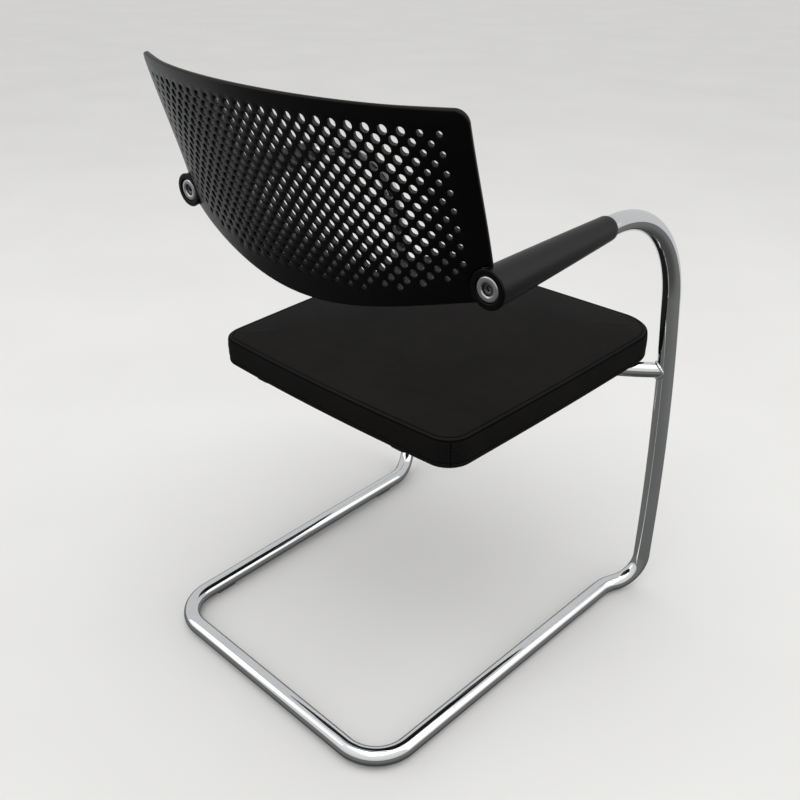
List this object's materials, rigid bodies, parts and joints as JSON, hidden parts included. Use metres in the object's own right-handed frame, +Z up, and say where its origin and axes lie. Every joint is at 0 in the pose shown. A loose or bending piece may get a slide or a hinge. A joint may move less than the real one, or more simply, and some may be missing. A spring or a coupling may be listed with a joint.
{
  "type": "cantilever chair",
  "caption": "Cantilever armchair: bent chrome tube frame open at the rear, padded square seat, curved perforated back shell bolted between tapered arm pads.",
  "frame": {"origin": "on the floor, under the middle of the chair's overall box", "axes": "+Z up, the chair faces -Y, and +X points to the sitter's left hand; the chair is mirror symmetric about X = 0"},
  "size_m": [0.5608, 0.5956, 0.8253],
  "materials": {
    "chrome": "polished",
    "bracket_steel": "satin",
    "seat_fabric": "matte",
    "foam": "matte",
    "plywood": "satin",
    "panel_plastic": "matte",
    "screw_steel": "satin",
    "nut_steel": "satin",
    "shell_plastic": "satin",
    "washer_steel": "satin",
    "bush_rubber": "matte",
    "pad_plastic": "satin",
    "glide_plastic": "matte"
  },
  "bodies": {
    "root": {"arm_pad_left": "pad_plastic", "arm_pad_right": "pad_plastic", "back_bush_left": "bush_rubber", "back_bush_right": "bush_rubber", "back_cup_washer_left": "washer_steel", "back_cup_washer_right": "washer_steel", "back_screw_left": "screw_steel", "back_screw_right": "screw_steel", "back_shell": "shell_plastic", "frame_tube": "chrome", "glide_front_left": "glide_plastic", "glide_front_right": "glide_plastic", "glide_rear_left": "glide_plastic", "glide_rear_right": "glide_plastic", "seat_bracket_left": "bracket_steel", "seat_bracket_right": "bracket_steel", "seat_cover": "seat_fabric", "seat_foam": "foam", "seat_front_tab_left": "bracket_steel", "seat_front_tab_right": "bracket_steel", "seat_insert_nuts": "nut_steel", "seat_pan": "plywood", "seat_screw_washers": "screw_steel", "seat_screws": "screw_steel", "seat_support_bow": "chrome", "seat_underside_panel": "panel_plastic", "tube_plug_left": "nut_steel", "tube_plug_right": "nut_steel"}
  },
  "joints": []
}
